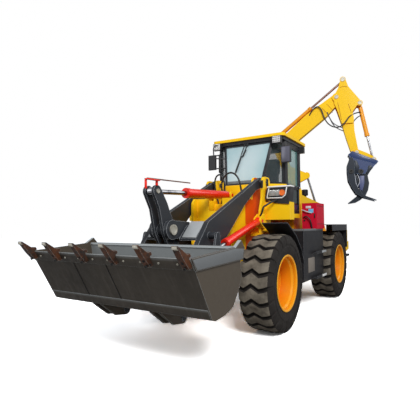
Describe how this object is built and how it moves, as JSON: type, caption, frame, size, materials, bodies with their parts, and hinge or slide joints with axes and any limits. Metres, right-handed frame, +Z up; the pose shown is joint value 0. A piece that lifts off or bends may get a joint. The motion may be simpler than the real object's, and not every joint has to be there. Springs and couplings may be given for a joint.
{
  "type": "backhoe loader",
  "caption": "Articulated wheeled loader with a front bucket on linked lift arms, a glazed cab, and a swinging rear boom and stick that end in a two-jaw log grapple.",
  "frame": {"origin": "on the ground under the vertical steering pin, on the centre line", "axes": "+X forward to the bucket, +Y to the machine's left, +Z up"},
  "size_m": [6.5154, 2.4398, 4.4498],
  "materials": {
    "tyre": "worn tread, dusty",
    "rim_paint": "gloss paint, dusty",
    "yellow_paint": "gloss paint",
    "hoe_cylinder_paint": "gloss paint",
    "black_paint": "satin paint",
    "dark_grey_paint": "satin paint",
    "bucket_steel": "scuffed paint",
    "worn_steel": "worn bare steel with surface rust",
    "red_paint": "gloss paint",
    "blue_paint": "gloss paint",
    "chrome": "polished rod",
    "engine_grey": "rough casting",
    "black_plastic": "fine grain",
    "seat_fabric": "woven",
    "cab_glass": "clear, pale tint"
  },
  "bodies": {
    "rear_frame": {"rear_chassis": "yellow_paint", "rear_axle": "yellow_paint", "cab_mount": "yellow_paint", "cab_base": "yellow_paint", "windscreen": "cab_glass", "cab_fittings": "black_plastic", "side_tanks": "black_paint", "tool_box": "red_paint", "rear_fenders": "black_paint", "cab_frame": "black_paint", "cab_glass": "cab_glass", "cab_roof": "yellow_paint", "seat": "seat_fabric", "controls": "black_plastic", "hood_body": "yellow_paint", "engine_block": "engine_grey", "hoe_mount": "yellow_paint"},
    "hood": {"hood_lid": "yellow_paint", "hood_stacks": "black_paint"},
    "cab_door": {"door_leaf": "black_paint", "door_glass": "cab_glass"},
    "front_frame": {"front_chassis": "yellow_paint", "front_tower": "yellow_paint", "front_axle": "yellow_paint", "front_fenders": "black_paint", "headlamps": "black_plastic"},
    "wheel_fl": {"tyre_fl": "tyre", "rim_fl": "rim_paint"},
    "wheel_fr": {"tyre_fr": "tyre", "rim_fr": "rim_paint"},
    "wheel_rl": {"tyre_rl": "tyre", "rim_rl": "rim_paint"},
    "wheel_rr": {"tyre_rr": "tyre", "rim_rr": "rim_paint"},
    "lift_arms": {"lift_arms": "dark_grey_paint"},
    "bell_crank": {"bell_crank": "dark_grey_paint"},
    "bucket_link": {"bucket_link": "dark_grey_paint"},
    "bucket": {"bucket": "bucket_steel", "bucket_teeth": "worn_steel"},
    "lift_barrels": {"lift_barrels": "red_paint"},
    "lift_rods": {"lift_rods": "chrome"},
    "tilt_barrel": {"tilt_barrel": "red_paint"},
    "tilt_rod": {"tilt_rod": "chrome"},
    "swing_post": {"swing_post": "yellow_paint"},
    "boom": {"boom": "yellow_paint"},
    "boom_barrel": {"boom_barrel": "hoe_cylinder_paint"},
    "boom_rod": {"boom_rod": "chrome"},
    "stick": {"stick": "yellow_paint"},
    "stick_barrel": {"stick_barrel": "hoe_cylinder_paint"},
    "stick_rod": {"stick_rod": "chrome"},
    "grapple_head": {"grapple_head": "blue_paint", "head_bracket": "yellow_paint"},
    "head_barrel": {"head_barrel": "hoe_cylinder_paint"},
    "head_rod": {"head_rod": "chrome"},
    "jaw_outer": {"jaw_outer": "black_paint"},
    "jaw_inner": {"jaw_inner": "black_paint"},
    "stabiliser_left": {"stabiliser_left": "yellow_paint"},
    "stabiliser_right": {"stabiliser_right": "yellow_paint"},
    "foot_left": {"foot_left": "black_paint"},
    "foot_right": {"foot_right": "black_paint"}
  },
  "joints": [
    {"name": "articulation", "type": "hinge", "parent": "rear_frame", "child": "front_frame", "pos_m": [0, 0, 0.72], "axis": [0, 0, -1], "range_deg": [-35, 35]},
    {"name": "wheel_fl_spin", "type": "hinge", "parent": "front_frame", "child": "wheel_fl", "pos_m": [1.32, 0.75, 0.588], "axis": [0, 1, 0], "continuous": true},
    {"name": "wheel_fr_spin", "type": "hinge", "parent": "front_frame", "child": "wheel_fr", "pos_m": [1.32, -0.75, 0.588], "axis": [0, 1, 0], "continuous": true},
    {"name": "wheel_rl_spin", "type": "hinge", "parent": "rear_frame", "child": "wheel_rl", "pos_m": [-1.32, 0.75, 0.588], "axis": [0, 1, 0], "continuous": true},
    {"name": "wheel_rr_spin", "type": "hinge", "parent": "rear_frame", "child": "wheel_rr", "pos_m": [-1.32, -0.75, 0.588], "axis": [0, 1, 0], "continuous": true},
    {"name": "cab_door_hinge", "type": "hinge", "parent": "rear_frame", "child": "cab_door", "pos_m": [0.302, 0.588, 2], "axis": [0, 0, -1], "range_deg": [0, 75]},
    {"name": "hood_hinge", "type": "hinge", "parent": "rear_frame", "child": "hood", "pos_m": [-0.355, 0, 1.842], "axis": [0, 1, 0], "range_deg": [0, 50]},
    {"name": "lift", "type": "hinge", "parent": "front_frame", "child": "lift_arms", "pos_m": [0.815, 0, 1.885], "axis": [0, -1, 0], "range_deg": [-5, 80]},
    {"name": "lift_barrel_turn", "type": "hinge", "parent": "front_frame", "child": "lift_barrels", "pos_m": [1.09, 0, 1.345], "axis": [0, -1, 0], "range_deg": [-5.09, 81.22]},
    {"name": "lift_rod_slide", "type": "slide", "parent": "lift_barrels", "child": "lift_rods", "axis": [0.9607, 0, -0.2775], "range_m": [-0.04875, 0.77846]},
    {"name": "bucket_tilt", "type": "hinge", "parent": "lift_arms", "child": "bucket", "pos_m": [2.76, 0, 0.42], "axis": [0, 1, 0], "range_deg": [0, 85]},
    {"name": "crank_turn", "type": "hinge", "parent": "lift_arms", "child": "bell_crank", "pos_m": [2.51, 0, 1.245], "axis": [0, -1, 0], "range_deg": [-0.01, 40.89]},
    {"name": "link_turn", "type": "hinge", "parent": "bell_crank", "child": "bucket_link", "pos_m": [2.256, 0, 0.701], "axis": [0, -1, 0], "range_deg": [-0.01, 1.69]},
    {"name": "tilt_barrel_turn", "type": "hinge", "parent": "front_frame", "child": "tilt_barrel", "pos_m": [1.08, 0, 1.71], "axis": [0, -1, 0], "range_deg": [-5.25, 83.77]},
    {"name": "tilt_rod_slide", "type": "slide", "parent": "tilt_barrel", "child": "tilt_rod", "axis": [0.9992, 0, -0.0401], "range_m": [-0.30896, 0.0001]},
    {"name": "swing", "type": "hinge", "parent": "rear_frame", "child": "swing_post", "pos_m": [-2.43, 0, 0.8], "axis": [0, 0, 1], "range_deg": [-15, 165]},
    {"name": "boom_hinge", "type": "hinge", "parent": "swing_post", "child": "boom", "pos_m": [-2.46365, 0.12557, 1.25], "axis": [-0.9659, -0.2588, 0], "range_deg": [-3, 98]},
    {"name": "boom_barrel_turn", "type": "hinge", "parent": "swing_post", "child": "boom_barrel", "pos_m": [-2.54129, 0.41535, 0.9], "axis": [-0.9659, -0.2588, 0], "range_deg": [-2.63, 85.62]},
    {"name": "boom_rod_slide", "type": "slide", "parent": "boom_barrel", "child": "boom_rod", "axis": [0.0691, -0.2579, 0.9637], "range_m": [-0.64867, 0.01995]},
    {"name": "stick_hinge", "type": "hinge", "parent": "boom", "child": "stick", "pos_m": [-2.60211, 0.64234, 4.02], "axis": [0.9659, 0.2588, 0], "range_deg": [-12, 100]},
    {"name": "stick_barrel_turn", "type": "hinge", "parent": "boom", "child": "stick_barrel", "pos_m": [-2.23252, -0.737, 3.142], "axis": [0.9659, 0.2588, 0], "range_deg": [-0.45, 3.71]},
    {"name": "stick_rod_slide", "type": "slide", "parent": "stick_barrel", "child": "stick_rod", "axis": [-0.2023, 0.7548, 0.624], "range_m": [-0.59373, 0.07134]},
    {"name": "head_tilt", "type": "hinge", "parent": "stick", "child": "grapple_head", "pos_m": [-2.7015, 1.01326, 2.808], "axis": [-0.9659, -0.2588, 0], "range_deg": [-66, 35]},
    {"name": "head_barrel_turn", "type": "hinge", "parent": "stick", "child": "head_barrel", "pos_m": [-2.72272, 1.09246, 3.85], "axis": [-0.9659, -0.2588, 0], "range_deg": [-2.71, 1.44]},
    {"name": "head_rod_slide", "type": "slide", "parent": "head_barrel", "child": "head_rod", "axis": [-0.0508, 0.1894, -0.9806], "range_m": [-0.39474, 0.20938]},
    {"name": "jaw_inner_hinge", "type": "hinge", "parent": "grapple_head", "child": "jaw_inner", "pos_m": [-2.71936, 1.0799, 2.392], "axis": [0.9659, 0.2588, 0], "range_deg": [0, 50]},
    {"name": "jaw_outer_hinge", "type": "hinge", "parent": "grapple_head", "child": "jaw_outer", "pos_m": [-2.66967, 0.89445, 2.4], "axis": [-0.9659, -0.2588, 0], "range_deg": [-0.01, 50.01]},
    {"name": "stabiliser_left_slide", "type": "slide", "parent": "rear_frame", "child": "stabiliser_left", "axis": [0, 0, -1], "range_m": [0, 0.33]},
    {"name": "foot_left_slide", "type": "slide", "parent": "stabiliser_left", "child": "foot_left", "axis": [0, 0, -1], "range_m": [-0.0001, 0.3301]},
    {"name": "stabiliser_right_slide", "type": "slide", "parent": "rear_frame", "child": "stabiliser_right", "axis": [0, 0, -1], "range_m": [0, 0.33]},
    {"name": "foot_right_slide", "type": "slide", "parent": "stabiliser_right", "child": "foot_right", "axis": [0, 0, -1], "range_m": [-0.0001, 0.3301]}
  ],
  "couplings": [
    {"joint": "lift_barrel_turn", "follows": "lift", "ratio": 1.0152},
    {"joint": "lift_rod_slide", "follows": "lift", "m_per_rad": 0.55746},
    {"joint": "crank_turn", "follows": "bucket_tilt", "ratio": 0.48091},
    {"joint": "link_turn", "follows": "bucket_tilt", "ratio": 0.019715},
    {"joint": "tilt_barrel_turn", "follows": "lift", "ratio": 1.047},
    {"joint": "tilt_rod_slide", "follows": "bucket_tilt", "m_per_rad": -0.2082},
    {"joint": "boom_barrel_turn", "follows": "boom_hinge", "ratio": 0.87353},
    {"joint": "boom_rod_slide", "follows": "boom_hinge", "m_per_rad": -0.37918},
    {"joint": "stick_barrel_turn", "follows": "stick_hinge", "ratio": 0.037002},
    {"joint": "stick_rod_slide", "follows": "stick_hinge", "m_per_rad": -0.34013},
    {"joint": "head_barrel_turn", "follows": "head_tilt", "ratio": 0.040979},
    {"joint": "head_rod_slide", "follows": "head_tilt", "m_per_rad": 0.34259},
    {"joint": "jaw_outer_hinge", "follows": "jaw_inner_hinge", "ratio": 1},
    {"joint": "foot_left_slide", "follows": "stabiliser_left_slide", "ratio": 1},
    {"joint": "foot_right_slide", "follows": "stabiliser_right_slide", "ratio": 1}
  ]
}
